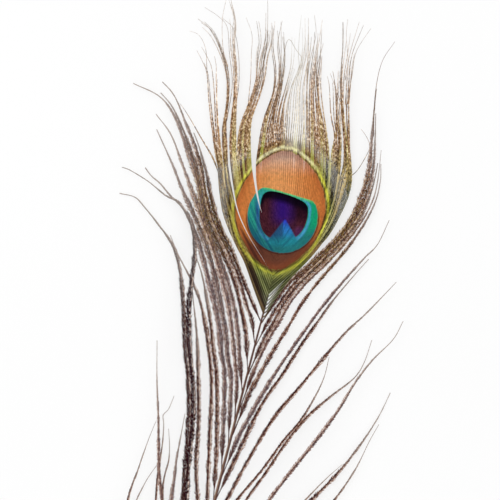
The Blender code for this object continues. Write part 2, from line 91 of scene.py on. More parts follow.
# Crest locks: height of the tip, route
CREST_LOCKS = [
    (3.5, [(-32.5, 80.5), (-35.8, 88.1), (-39.6, 98.8), (-42.9, 108.6), (-46.2, 117.8), (-51, 123.7),
     (-55.6, 128.4)]),
    (6, [(-30.9, 82), (-33.6, 88.8), (-36.6, 96.8), (-39.4, 105.2), (-42.3, 114.5), (-44.4, 121.2),
     (-47.1, 125.5)]),
    (0.3, [(-28.6, 85.4), (-31, 93), (-33.3, 100.4), (-35.2, 112.1), (-38.2, 121.5), (-43.7, 130.3),
     (-48.8, 135.8), (-53.9, 138.1)]),
    (5, [(-26.3, 87.6), (-28.9, 96), (-31.2, 105.3), (-33, 114), (-35.6, 123.5), (-38.6, 131.4),
     (-40.4, 139.6), (-44.8, 147.5)]),
    (2.4, [(-23.2, 90.4), (-24.9, 96.8), (-26, 104), (-25, 113), (-24.9, 121), (-26.4, 129.5), (-27, 137),
     (-30.4, 148.3)]),
    (7.5, [(-17.6, 93.6), (-18.2, 99.6), (-18.6, 107.1), (-17.8, 118), (-19.1, 126.5), (-22.2, 135),
     (-23.3, 142.8)]),
    (0.3, [(-14, 95.6), (-15.1, 102), (-15.9, 110), (-16.1, 120), (-16.9, 129.6), (-18.6, 136.4),
     (-21, 143.7)]),
    (4.2, [(-10.9, 98.6), (-12.2, 105.4), (-13.3, 113), (-13.6, 121), (-14.2, 129), (-15.6, 134.5),
     (-16.6, 138.4)]),
    (8, [(-6.8, 101.2), (-8.4, 108.3), (-10.1, 115.6), (-10.8, 122.5), (-9.8, 129), (-11.4, 135),
     (-13.9, 149.6)]),
    (3, [(-0.8, 101), (-2.3, 108), (-4.4, 114.5), (-6.4, 120.7), (-7.4, 127.1), (-8, 135.6), (-10.6, 146)]),
    (6.4, [(3.4, 99.8), (1.4, 107), (-1, 114), (-3.2, 121), (-4.8, 128.2), (-5.6, 137.6), (-7.1, 149.4)]),
    (0.3, [(9, 96.8), (6.6, 104), (3.6, 111.4), (0.6, 118.6), (-1.6, 125.4), (-2.9, 133.3), (-5.2, 143.8)]),
    (5.5, [(14.9, 91.9), (13.9, 98), (12.5, 104.6), (9.9, 111.5), (7.9, 118.4), (6.3, 124.5), (4.6, 130)]),
    (2.2, [(20.4, 85.8), (20.4, 90.6), (19, 96.6), (16.6, 103.4), (13.6, 110.6), (10.9, 118.4), (8.4, 128),
     (6.8, 139), (4.4, 151.7)]),
    (7, [(22.6, 90.4), (22.4, 95.4), (20.9, 101), (18.2, 107.2), (15.6, 114.4), (13.2, 121.4), (11, 131),
     (9.6, 141), (10.3, 153)]),
    (7, [(-33.6, 80.2), (-37, 85.4), (-43, 92), (-49.2, 98), (-54.5, 103)]),
]

# Where loose barbs leave the shaft, to its side
HERL_FOOT_X = {"left": -1.2, "right": 1.2}

# Loose barbs from the crest down: full width, rise of the bow, height of the tip, place along the
# shaft where it leaves, route from there
HERLS = {"left": [
    (1.4, 1, 0.6, 27.6, [(-5.4, 33), (-10.6, 40), (-17.8, 50), (-26.2, 60), (-32, 70), (-35.8, 78),
     (-41, 87), (-44.8, 92.4)]),
    (1.4, 2.2, 4.4, 19.5, [(-3.8, 26), (-7.6, 31.6), (-12.8, 40.5), (-20, 50), (-28.6, 60.5), (-34.2, 70),
     (-38.4, 79.5), (-44.2, 89), (-49.4, 96.1), (-53.8, 102.2), (-57.3, 105.9), (-61.8, 108.8)]),
    (1.5, 1.4, 0.2, 9, [(-4.6, 20), (-9.4, 30), (-14.8, 40), (-22, 49.6), (-30.4, 60), (-36, 70.6),
     (-41.2, 80.6), (-46.4, 88.6), (-51.6, 95.6), (-56.4, 101), (-61.5, 104.6)]),
    (1.5, 3, 1.8, 0, [(-4.6, 10), (-8, 20), (-11.8, 29), (-17.4, 39), (-24.2, 49), (-32, 60), (-38.6, 74),
     (-46.2, 86), (-54, 97), (-61.8, 103.1), (-73, 105.5)]),
    (1.5, 3, 6.5, -10, [(-3.2, 0), (-6.7, 10), (-10.4, 20), (-14.2, 29), (-19.8, 39.4), (-26.2, 50),
     (-33.4, 60.4), (-39.6, 69.6), (-46.4, 79.6), (-53.3, 89.3), (-60.9, 95.6)]),
    (1.6, 2.2, 0.2, -20.5, [(-5.6, 0), (-9.6, 10), (-13.2, 20), (-17.5, 29), (-22.9, 40), (-28.8, 50),
     (-36, 60), (-42.8, 68.2), (-49.9, 78), (-59.5, 90)]),
    (1.6, 4.6, 0.6, -31.5, [(-8.2, 0), (-12.1, 10), (-15.7, 20), (-20, 29), (-25.5, 39), (-31.2, 49),
     (-37.4, 58.4), (-43, 63.6), (-47, 65.4), (-52.6, 69.4), (-57, 71.6), (-60, 74)]),
    (1.6, 3.4, 0.2, -44, [(-5.2, -24), (-11.4, 0), (-15.3, 10), (-19, 20), (-23, 29), (-27.6, 38.6),
     (-33.5, 47.5)]),
    (1.5, 6, 4, -56, [(-7.2, -28.4), (-12.4, -4.3), (-16.5, 8.3), (-21.5, 20.5), (-26.6, 29.8),
     (-31.2, 35.6), (-38.6, 43.8), (-43.5, 50.4)]),
    (1.5, 3.2, 3.6, -70, [(-6.6, -49.2), (-10.7, -35.7), (-14.2, -18), (-18.2, -3), (-21.6, 9), (-24.6, 18),
     (-28, 27), (-30.2, 33)]),
    (1.8, 7.4, 2.2, -87, [(-6, -66), (-10.9, -50.2), (-13.6, -36.3), (-16.5, -18), (-19.6, -5.6),
     (-23.1, 4.2), (-26.4, 14), (-29.2, 24.6), (-30.9, 35.6), (-32.5, 46.8), (-36.7, 56.9), (-43.2, 63.7),
     (-49.6, 65.5), (-57.2, 69), (-65.5, 71.6), (-69, 72)]),
    (1.8, 4.8, 0.2, -94, [(-7, -68), (-12.2, -50.8), (-14.8, -36.8), (-18.4, -17), (-22.5, -2.8),
     (-28.2, 14), (-32.4, 27.2), (-36.4, 38), (-41.6, 46.8), (-50.3, 54.2), (-56.3, 58.7), (-61.2, 61.7),
     (-67.4, 61.7)]),
    (1.3, 2.6, 1.2, -106, [(-8, -82), (-13.6, -64), (-16.8, -51.9), (-17.9, -42.5), (-18.9, -35.3),
     (-19.4, -28), (-20.2, -17.2)]),
    (1.1, 5, 4.2, -112, [(-9, -88), (-16, -65), (-21.8, -48.6), (-25.2, -38.8), (-29.8, -21.6),
     (-34.2, -6.9), (-38.2, 8.5)]),
    (0.9, 2, 0.2, -119, [(-10.6, -92), (-18.6, -69), (-23, -52), (-25, -38.8), (-25.9, -30.8),
     (-27.3, -23.4), (-28.5, -19.8), (-27, -17), (-26.2, -11.3)]),
    (0.9, 1.2, 0.2, -100, [(-8.4, -79), (-16, -62), (-20.6, -51), (-21.8, -44), (-21.8, -37),
     (-22.9, -31.2), (-25, -24.7)]),
    (0.9, 3.4, 2, -125, [(-14, -99), (-27, -76), (-33.3, -58), (-32.6, -42), (-31.6, -30), (-30.6, -22.6)]),
    (0.9, 1.4, 0.2, -131, [(-14, -106), (-25.6, -80), (-30.4, -62), (-29, -49), (-25.3, -38)]),
    (1.2, 1.6, 0.2, -138, [(-12, -116), (-24, -98), (-38, -84), (-50, -77)]),
    (1.2, 0.5, 0.2, -143, [(-10, -130), (-22, -119), (-36, -111), (-46, -108)]),
], "right": [
    (1.5, 1, 4.4, 28.4, [(3.2, 34.7), (7.1, 44.2), (13.8, 54.4), (20, 64.4), (24.3, 74), (26, 83),
     (26.6, 91), (26.2, 98), (24.8, 106), (22.9, 117), (21.3, 127.4)]),
    (1.5, 2, 1.8, 20, [(2.6, 26), (5.6, 35.3), (9.5, 44.8), (15.8, 54.9), (21.7, 64.9), (26, 74.5),
     (27.9, 83.4), (28.4, 92), (27.6, 100), (26, 107.5), (23.6, 118)]),
    (1.5, 1.4, 0.2, 9.5, [(2.9, 19.3), (5, 26.7), (7.3, 35.7), (11.5, 45.3), (17.8, 55.4), (23.1, 65.2),
     (27.5, 74.9), (29.4, 83.8), (29.8, 92), (29.4, 99)]),
    (1.4, 3.2, 3.2, -3, [(2.2, 7), (4.5, 19.7), (6.7, 27.1), (9.2, 36.1), (13.6, 45.8), (19.8, 55.9),
     (24.9, 65.7), (28.9, 75.2), (31, 84.2), (30.9, 92.6), (29.3, 104.4)]),
    (1.6, 1.8, 0.2, -14, [(2.6, -3.5), (4.3, 3.8), (6.7, 12.8), (9.1, 20.9), (11.4, 28.3), (13.9, 37),
     (18, 47), (22.9, 56.7), (27.2, 66), (30.5, 75.6), (32.3, 84.4), (32.1, 92.8), (30.7, 99)]),
    (1.6, 3.4, 2.2, -32, [(3.1, -19.4), (7.9, -1), (12.5, 13.2), (17.1, 25.5), (21.3, 36.2), (25.7, 45.9),
     (29.5, 53.5), (33.6, 61.2), (37.3, 67.7), (39.4, 78)]),
    (1.6, 2, 0.2, -43, [(4.7, -25.3), (8.4, -6.6), (13.4, 7.4), (18, 21.4), (22.8, 34), (25.4, 40.8),
     (28.6, 47.6), (32, 54.5), (35.4, 61)]),
    (1.6, 3.6, 4, -57, [(4.6, -46), (8, -32), (11.8, -18), (15.6, -7), (21, 4), (26.4, 15.6), (33.3, 29.8),
     (40, 40.4), (48.2, 54.9)]),
    (1.3, 6.4, 7.5, -66, [(4.5, -54.5), (9.5, -42.5), (15.4, -30), (20.3, -17.4), (24.9, -7.9), (28, 2.3),
     (29.7, 11), (29.7, 19.4)]),
    (1.3, 2.2, 0.2, -76, [(6, -60), (11.5, -45.5), (17, -31.6), (22.1, -17.4), (27.2, -6.4), (33.9, 3.5),
     (41.5, 13.4), (44, 20.5), (44.8, 29.9)]),
    (1.6, 5.2, 3.4, -90, [(8, -72), (15, -55), (20.5, -42.2), (27.1, -26.7), (33, -13.8), (38.4, -0.4),
     (42, 11.4), (46.7, 22.4), (52.7, 32.5), (54.8, 40.4)]),
    (1.7, 2.4, 0.2, -108, [(9, -92), (19.4, -72), (30, -50), (38, -36.6), (45, -24.4), (50.7, -11.6),
     (54.9, 0.7), (57.2, 11.4)]),
    (1.2, 4.6, 3.4, -103, [(9.4, -86), (19, -68), (28.6, -49.4), (36, -36), (40.8, -27.8), (45.6, -20.8)]),
    (1.3, 1.2, 2.2, -121, [(12, -102), (25, -77), (38, -52), (46.1, -35.6), (51.2, -21.6), (53.8, -9.4),
     (55.8, -1.9)]),
    (1.2, 3, 0.2, -131, [(12, -116), (26, -98), (40, -80), (52, -66), (60, -52)]),
    (1.2, 1.4, 2.6, -139, [(11, -128), (24, -113), (38, -98), (50, -88)]),
]}

# Fine tips that run on beyond a loose barb: height, route
HERL_TIPS = {"herl_right_01": (5.5, [(24.9, 108.9), (21.4, 125), (20.7, 138.1), (23.6, 147.4)])}

# Stray fine tips in the crest: the lock they belong to, height, route
WISPS = [
    (1, 4, [(-42.9, 108.6), (-46, 118), (-48.6, 126), (-52.5, 130.6), (-56.5, 131.3)]),
    (4, 6, [(-33, 114), (-39.7, 134), (-40.7, 141), (-44.8, 147.5)]),
    (3, 2.5, [(-33.3, 100.4), (-34.8, 115), (-39.1, 127), (-42.4, 136.5), (-47, 139.9), (-53.1, 142)]),
    (4, 3.5, [(-31.2, 105.3), (-32.3, 115.7), (-35.2, 126.7), (-39.7, 136.3), (-45.5, 139.7)]),
    (3, 5, [(-38.2, 121.5), (-41.9, 127.8), (-45, 138.7), (-45.6, 147.3)]),
    (5, 4, [(-26, 104), (-28.1, 118), (-30.3, 128), (-32.1, 136), (-36, 142)]),
    (5, 3, [(-24.9, 121), (-25, 131), (-27.2, 142), (-29.5, 151)]),
    (6, 6.5, [(-17.8, 118), (-16.9, 122.6), (-20.2, 136.4), (-22.2, 143.7)]),
    (7, 4.5, [(-16.1, 120), (-17.2, 127), (-18, 136), (-17, 138), (-14, 135), (-10.3, 131.7),
     (-9.2, 127.6)]),
    (10, 5.5, [(-4.4, 114.5), (-7, 130), (-7.4, 142), (-9.9, 149.6)]),
    (14, 4.5, [(10.9, 118.4), (8, 134), (4.4, 145), (3.3, 151.5)]),
    (14, 3, [(8.4, 128), (7.6, 139), (8, 151.8)]),
    (15, 6, [(11.8, 119), (11, 125), (10.5, 131), (9.8, 140), (13, 150)]),
    (15, 4, [(19.4, 90.4), (22.2, 94.5), (24.4, 102.2), (24.3, 105.4), (21.8, 108.6), (19.5, 110.4)]),
    (13, 6.5, [(10.2, 116), (8, 120), (4.6, 125), (2, 128.7)]),
    (14, 1, [(18.4, 98.4), (12.9, 108), (10.2, 116), (6.5, 127)]),
]

# Number of fine barbs beside the foot of the vane's right edge
EDGE_STRANDS = 6

# How full the fluff of each loose barb is, and how much fuller it grows beyond the barb's foot
HERL_FULL = {"left": [1] * 20, "right": [1] * 7 + [0.78] * 9}
HERL_SWELL = {"left": [0.25] * 7 + [0] * 13, "right": [0.25] * 3 + [-0.3] * 4 + [0] * 9}

# How deep the brown of some loose barbs is, by side and number: the others have 0
HERL_DEPTH = {"left": {1: 0.4, 2: 0.35, 9: 0.35, 10: 0.35, 11: 1.0, 12: 0.7}, "right": {1: 0.25, 2: 0.2}}

# Loose barbs: half width of the stem, length of its bare foot, its least height, and how far apart
# the fuller and thinner places of its fluff are
HERL_STEM = 0.17
HERL_BARE = 3.0
HERL_LOWEST = 0.22
TUFT_SPACING = 2.2

# Shaft: rings, sides, the degrees where its section starts and that it goes round, the share of its
# radius at which its underside is flat, how deep its axis ends below the vane and where it rises there
SHAFT_RINGS = 160
SHAFT_SIDES = 24
SECTION_START = 226.0
SECTION_TURN = 272.0
SHAFT_FLAT = 0.72
SHAFT_BELOW_VANE = 0.9
SHAFT_RISE = (26.0, 44.0)

# Vane and crest: points on a guide, on a lock and on a free tip, distance between a barb's points,
# how far its ribbon passes the half way to the next one, and its barbules' length over that half way
GUIDE_POINTS = 44
LOCK_POINTS = 80
TIP_POINTS = 12
BARB_STEP = 0.8
OVERLAP = 1.15
WEB_FLUFF = 1.7

# A plate with more barbs than this has no two neighbours of one tone
MOST_IN_PAIRS = 40

# Sizes of the dressing: a share of the half width, metres, radians, rise over run and metres
DRESSING_SIZES = ("Ridge", "Spacing", "Angle", "Lift", "Barbule Width")
VANE_SIZES = (0.16, 0.00030, 0.62, 0.16, 0.00016)
CREST_SIZES = (0.45, 0.00030, 0.5, 0.1, 0.00024)
HERL_SIZES = (0.6, 0.00016, 0.62, 0.08, 0.00031)

# Share of a barbule's length at which it is widest
BLADE_SHOULDER = 0.5

# How the feather is turned to the camera, and the width of the view
LEAN = math.radians(14.5)
FRAME_CENTRE = (-11.4, 52.8)
FRAME_WIDTH = 200.0
LENS = 200.0
SENSOR = 36.0

# Eye: centre of the oval and its half axes, then places from that centre along the short and long axis
OVAL_CENTRE = (-3.49, 71.8)
OVAL_HALF = (18.0, 24.4)
OVAL_POWER = 1.72
OVAL_TOP_SHORTER = 1.2
DISC_CENTRE = (0.56, -3.2)
DISC_HALF = (14.24, 14.6)
DISC_POWER = 2.0
HEART_CENTRE = (1.2, -0.4)
HEART_HALF = (9.5, 11.8)
HEART_POWER = 2.5
WEDGE_TIP = (1.6, -3.8)


def smooth_step(start, end, value):
    """Ease from 0 at start to 1 at end."""
    part = np.clip((value - start) / (end - start), 0, 1)
    return part * part * (3 - 2 * part)


def evenly_spaced(path, count):
    """Points the same distance apart along a path."""
    steps = np.linalg.norm(np.diff(path, axis=0), axis=1)
    travelled = np.concatenate([[0], np.cumsum(steps)])
    wanted = np.linspace(0, travelled[-1], count)
    return np.stack([np.interp(wanted, travelled, line) for line in path.T], axis=1)


def path_length(path):
    """Length of a path."""
    return float(np.linalg.norm(np.diff(path, axis=0), axis=1).sum())


def smooth_route(route, count):
    """Evenly spaced points on the smooth curve through a route, the same curve as the part's."""
    knots = np.array(route, float)
    knots = np.vstack([2 * knots[0] - knots[1], knots, 2 * knots[-1] - knots[-2]])
    part = np.arange(12)[:, None] / 12
    fine = []
    for before, first, second, after in zip(knots, knots[1:], knots[2:], knots[3:]):
        fine.append(0.5 * (2 * first + (second - before) * part
                           + (2 * before - 5 * first + 4 * second - after) * part ** 2
                           + (3 * first - before - 3 * second + after) * part ** 3))
    fine.append(knots[-2][None])
    return evenly_spaced(np.vstack(fine), count)


def eye_height(x, y):
    """Height of the vane, a shallow dome around the eye."""
    across = (x - EYE_CENTRE[0]) / EYE_REACH[0]
    along = (y - EYE_CENTRE[1]) / EYE_REACH[1]
    return VANE_EDGE_Z + VANE_CROWN * np.maximum(0, 1 - across ** 2 - along ** 2)


def shaft_lift(y):
    """Height of the shaft's flat underside."""
    return SHAFT_LIFT * smooth_step(SHAFT_LIFT_START, SHAFT_LIFT_END, y)


def eye_upright(x, y):
    """Place measured from the oval's centre, along its short and its long axis."""
    east = x - OVAL_CENTRE[0]
    north = y - OVAL_CENTRE[1]
    short = east * math.cos(LEAN) + north * math.sin(LEAN)
    long = north * math.cos(LEAN) - east * math.sin(LEAN)
    return short, long


def round_share(a, b, half, power):
    """How far a place is from a round shape's centre: 1 on its edge."""
    return ((abs(a) / half[0]) ** power + (abs(b) / half[1]) ** power) ** (1 / power)


def paint(red, green, blue):
    """Linear colour of a paint given in the usual 0 to 255 numbers."""
    parts = [value / 255 for value in (red, green, blue)]
    return tuple(p / 12.92 if p <= 0.04045 else ((p + 0.055) / 1.055) ** 2.4 for p in parts) + (1,)


def fill(node, sockets):
    """Link a node's sockets to fields, or set them to values."""
    for key, value in sockets.items():
        if isinstance(value, Field):
            node.id_data.links.new(value.socket, node.inputs[key])
        else:
            node.inputs[key].default_value = value


class Field:
    """A node's output; sums written with it add Math nodes to its tree."""

    def __init__(self, socket):
        self.socket = socket

    def node(self, kind, settings, sockets, output=0):
        """Add a node: its settings, then the values or links of its sockets."""
        node = self.socket.id_data.nodes.new(kind)
        for name, setting in settings.items():
            setattr(node, name, setting)
        fill(node, sockets)
        return Field(node.outputs[output])

    def maths(self, operation, *others):
        """One Math node on this value and the others."""
        return self.node("ShaderNodeMath", {"operation": operation}, dict(enumerate((self, *others))))

    def vector(self, operation, other):
        """One Vector Math node on this vector and another."""
        return self.node("ShaderNodeVectorMath", {"operation": operation}, {0: self, 1: other})

    def scaled(self, factor):
        """This colour or vector, times a number."""
        return self.node("ShaderNodeVectorMath", {"operation": "SCALE"}, {0: self, 3: factor})

    def __add__(self, other):
        return self.maths("ADD", other)

    __radd__ = __add__

    def __sub__(self, other):
        return self.maths("SUBTRACT", other)

    def __rsub__(self, other):
        return self.node("ShaderNodeMath", {"operation": "SUBTRACT"}, {0: other, 1: self})

    def __mul__(self, other):
        return self.maths("MULTIPLY", other)

    __rmul__ = __mul__

    def __truediv__(self, other):
        return self.maths("DIVIDE", other)

    def __pow__(self, other):
        return self.maths("POWER", other)

    def __abs__(self):
        return self.maths("ABSOLUTE")

    def rise(self, start, end):
        """Ease from 0 at start to 1 at end, whichever of the two is the larger."""
        return self.node("ShaderNodeMapRange", {"interpolation_type": "SMOOTHSTEP"},
                         {0: self, 1: start, 2: end, 3: 0, 4: 1})

    def band(self, middle, reach):
        """1 at the middle, down to 0 at a distance of reach."""
        return abs(self - middle).rise(reach, 0)

    def between(self, first, second):
        """A colour from the first paint at 0 to the second at 1."""
        return self.node("ShaderNodeMix", {"data_type": "RGBA"},
                         {0: self, 6: paint(*first), 7: paint(*second)}, 2)

    def coated(self, *coats):
        """This colour under coats, each a paint or a colour, with the share of it that shows."""
        colour = self
        for coat, share in coats:
            top = coat if isinstance(coat, Field) else paint(*coat)
            colour = self.node("ShaderNodeMix", {"data_type": "RGBA"}, {0: share, 6: colour, 7: top}, 2)
        return colour


def new_material(name):
    """A material, and its Object coordinates in millimetres."""
    material = bpy.data.materials.new(name)
    material.use_nodes = True
    place = Field(material.node_tree.nodes.new("ShaderNodeTexCoord").outputs["Object"])
    return material, place.scaled(1000)


def finished(material, sockets):
    """The material, once its shader's sockets are linked or set."""
    fill(material.node_tree.nodes["Principled BSDF"], sockets)
    return material


def attributes(field, *names):
    """Numbers stored on the piece's points."""
    return [field.node("ShaderNodeAttribute", {"attribute_name": name}, {}, 2) for name in names]


def noise(place, scale, detail):
    """Random value from 0 to 1 that changes over the place."""
    return place.node("ShaderNodeTexNoise", {}, {"Vector": place, "Scale": scale, "Detail": detail})


def patches(place, scale, detail):
    """Noise with more contrast."""
    return (noise(place, scale, detail) - 0.5) * 2.6 + 0.5


def split_place(place):
    """The x and y of a place."""
    separate = place.node("ShaderNodeSeparateXYZ", {}, {0: place})
    outputs = separate.socket.node.outputs
    return Field(outputs[0]), Field(outputs[1])


def herringbone_colour(x, y, a, b, rho, tone):
    """Below the oval: dark and pale lines that meet on the shaft in a V, brown at the left edge."""
    wave = ((y - abs(x) * 1.5) * 4.5).maths("SINE")
    web = tone.rise(0.3, 0.9).between((48, 28, 22), (136, 112, 76))
    return tone.rise(0.25, 0.8).between((22, 28, 16), (106, 116, 66)).coated(
        ((106, 122, 38), rho.rise(1.2, 1.1) * tone.rise(0.1, 0.6) * 0.75),
        ((124, 122, 104), b.rise(-31, -37) * 0.8),
        ((22, 28, 12), wave.rise(0, 0.8) * 0.8),
        ((168, 176, 118), wave.rise(-0.3, -1) * b.rise(-22, -26) * 0.5),
        (web, (a + b * 0.314).rise(-17.6, -19) * 0.9))


def outside_colour(x, y, a, b, rho, tone, second, speckle):
    """Outside the oval: streaks of brown, olive and gold that turn grey towards the tips."""
    gold = speckle.rise(0.2, 0.75).between((76, 72, 38), (176, 170, 100))
    sage = speckle.rise(0.3, 0.7).between((36, 38, 24), (172, 168, 118))
    amber = speckle.rise(0.25, 0.7).between((62, 48, 28), (176, 150, 92))
    grey = speckle.between((130, 116, 100), (192, 184, 176))
    right_web = sage.coated(
        (amber, a.rise(19, 23) * 0.8),
        ((44, 84, 58), b.band(2, 20) * tone.rise(0.62, 0.75) * 0.55))
    left_web = a.rise(-16, -20) * b.rise(26, 14)
    along_barbs = x.node("ShaderNodeCombineXYZ", {}, {0: (x + y * 0.45) * 1.5, 1: y * 0.12})
    strip = patches(along_barbs, 1, 1)
    glow = rho.rise(1.5, 1.15) * b.rise(8, 18) * second.rise(0.3, 0.7)
    return speckle.rise(0.2, 0.65).between((84, 56, 36), (166, 126, 86)).coated(
        ((230, 220, 204), speckle.rise(0.53, 0.9) * (b.rise(2, 24) * 0.75 + 0.25)),
        (gold, second.rise(0.4, 0.8) * b.rise(48, 22) * a.rise(-26, -20) * 0.6),
        ((52, 34, 20), tone.rise(0.42, 0.2) * b.rise(30, 4) * 0.75),
        ((66, 46, 30), a.rise(-16, -19) * b.rise(16, 2) * second.rise(0.3, 0.7) * 0.6),
        (right_web, a.rise(14, 17) * b.rise(26, 14) * 0.85),
        (amber, left_web * 0.6),
        ((54, 42, 24), left_web * strip.rise(0.45, 0.7) * 0.75),
        ((206, 192, 140), left_web * strip.rise(0.4, 0.2) * 0.6),
        (herringbone_colour(x, y, a, b, rho, tone), b.rise(-16, -22) * 0.9),
        ((146, 144, 58), rho.rise(1.2, 1.08) * speckle.rise(0.25, 0.7) * 0.5),
        ((142, 142, 60), glow * 0.7),
        (grey, b.rise(38, 72) * 0.75),
        ((208, 203, 186), a.band(5.9, 7) * b.rise(21, 27) * 0.65))


def ring_colour(a, b, second):
    """Yellow-green ring round the oval, browner at the left and pale at its top."""
    return second.between((160, 158, 40), (206, 204, 76)).coated(
        ((130, 112, 50), a.rise(-14, -19) * 0.4),
        ((216, 210, 174), b.rise(12, 21) * 0.85))


def bronze_colour(a, b, rho, second):
    """Bronze of the oval: orange at the sides, a pale pinkish top and a maroon foot."""
    slit_side = b.rise(-4, -11) * a.rise(-5.5, -9) * second.rise(0.35, 0.6)
    return a.band(-1, 15).between((182, 110, 56), (204, 142, 86)).coated(
        ((186, 156, 140), b.rise(12, 22) * 0.8),
        ((158, 142, 132), b.rise(18, 23) * 0.6),
        ((226, 212, 202), b.rise(13, 22) * second.rise(0.66, 0.82) * 0.6),
        ((84, 46, 38), b.rise(-8, -16) * 0.95),
        ((140, 70, 38), rho.rise(0.84, 0.98) * 0.4),
        ((60, 32, 26), slit_side * 0.75))


def teal_colour(a, b, second, disc_top, heart):
    """Turquoise of the disc, greener at its right and its top, with streaks of blue."""
    return a.rise(2, 12).between((44, 146, 130), (24, 146, 104)).coated(
        ((36, 100, 108), b.rise(-5, -12) * (a.rise(-12, -4) * 0.45 + 0.4)),
        ((22, 84, 104), second.rise(0.62, 0.9) * 0.45),
        ((70, 146, 190), heart.band(1.06, 0.1) * b.rise(8, 2) * 0.8),
        ((30, 50, 112), (a + b * 0.1).band(-9.6, 1.5) * b.band(-1, 9) * 0.85),
        ((40, 84, 120), (a - b * 0.12).band(-8, 2) * b.rise(-3, -6) * 0.5),
        ((16, 60, 84), a.rise(1, -5) * b.rise(2, -5) * second.rise(0.35, 0.7) * 0.6),
        ((96, 190, 110), disc_top.rise(-1.7, -0.3) * 0.8))


def heart_colour(a, b, mottle, heart, heart_top):
    """Dark heart: black at its top, violet-blue in the middle, maroon lobes."""
    violet = (a - 0.6).band(0, 6.6) * b.rise(-9, -2)
    return mottle.between((54, 20, 32), (72, 34, 42)).coated(
        ((88, 44, 96), b.rise(-6, -9) * a.rise(4, 7) * 0.5),
        ((24, 6, 22), a.rise(2, 5) * b.rise(-7, -2) * 0.7),
        ((44, 18, 100), violet * 0.95),
        ((10, 4, 16), heart.rise(0.74, 0.94) * b.rise(-2, 3)),
        ((10, 4, 16), heart_top.rise(-4.8, -2) * 0.92))


def wedge_colour(a, drop, second):
    """Wedge of blue between the lobes, with darker barbs that fan out below."""
    return drop.rise(0.5, 5).between((42, 52, 166), (42, 112, 176)).coated(
        ((34, 122, 134), drop.rise(4.5, 9)),
        ((34, 66, 96), a.rise(1.3, 0.2) * drop.rise(10, 6) * 0.85),
        ((26, 66, 92), second.rise(0.45, 0.8) * drop.rise(0.5, 4) * 0.55))


def eye_finish(name, metal_inside, shine, streaky):
    """Vane and crest: the eye's rings in iridescent barbs, olive and brown outside them."""
    material, place = new_material(name)
    x, y = split_place(place)
    a, b = eye_upright(x, y)
    tone, fleck = attributes(place, "tone", "fleck")
    second = (tone * 7.31).maths("FRACT")
    mottle = patches(place.vector("ADD", tone.scaled(90)), 0.95, 2)
    grained = fleck * 0.35 + mottle * 0.65
    speckle = grained + (second - grained) * streaky

    # How far out each shape of the eye a place is, with an edge that is a little ragged
    ragged = (tone - 0.5) * 0.02
    oval_half = (OVAL_HALF[0], OVAL_HALF[1] - b.rise(0, 14) * OVAL_TOP_SHORTER)
    rho = round_share(a - (b * 0.075 - 0.28), b, oval_half, OVAL_POWER) + ragged
    disc_round = round_share(a - DISC_CENTRE[0], b - DISC_CENTRE[1], DISC_HALF, DISC_POWER)
    disc_top = b - 8.6 + (a + 5.1) * 0.29
    disc = disc_round.maths("SMOOTH_MAX", disc_top / 14 + 1, 0.2) + ragged * 0.6
    heart_a = a - HEART_CENTRE[0] - b * 0.08
    heart_round = round_share(heart_a, b - HEART_CENTRE[1], HEART_HALF, HEART_POWER)
    heart_top = b - 6.2 + a * 0.27 + a * a * 0.012
    heart = heart_round.maths("SMOOTH_MAX", heart_top / 9 + 1, 0.5) + ragged * 0.5 - 0.035
    drop = WEDGE_TIP[1] - b
    wedge_left = (a - WEDGE_TIP[0] + drop * 0.79).rise(-0.4, 0.6)
    wedge_right = (drop * 0.56 + WEDGE_TIP[0] - a).rise(-0.4, 0.6)
    ring = rho.band(1.06, 0.052 - b.rise(-2, -12) * 0.014) * (speckle.rise(0.1, 0.5) * 0.5 + 0.5)
    in_disc = disc.rise(1, 0.975)
    in_wedge = wedge_left * wedge_right * drop.rise(0, 0.8) * in_disc * heart.rise(1.3, 1.1)

    # The eye's colours from its outside in, with dark lines between ring, bronze and disc
    colour = outside_colour(x, y, a, b, rho, tone, second, speckle).coated(
        (ring_colour(a, b, second), ring * (b.rise(-18, -11) * 0.35 + 0.6)),
        ((84, 56, 28), rho.band(1.012, 0.028) * b.rise(24, 12) * 0.75),
        (bronze_colour(a, b, rho, second), rho.rise(1.005, 0.985)),
        ((58, 30, 26), disc.band(1.01, 0.04) * b.rise(2, -5) * 0.8),
        (teal_colour(a, b, second, disc_top, heart), in_disc),
        (heart_colour(a, b, mottle, heart, heart_top), heart.rise(1, 0.965)),
        (wedge_colour(a, drop, second), in_wedge))

    # Shade that differs from barb to barb and barbule to barbule, most of all outside the oval
    even = second * 0.2 + fleck * 0.3 + mottle * 0.42 + 0.78
    uneven = (second * 0.65 + speckle * 0.5 + 0.6) * (b.rise(0, 16) * 0.28 + 0.72)
    shade = even + (uneven - even) * rho.rise(1.09, 1.2)
    return finished(material, {"Base Color": colour.scaled(shade),
                               "Metallic": rho.rise(1.1, 0.98) * metal_inside + 0.12,
                               "Roughness": mottle * 0.15 + shine,
                               "Specular IOR Level": 0.06})


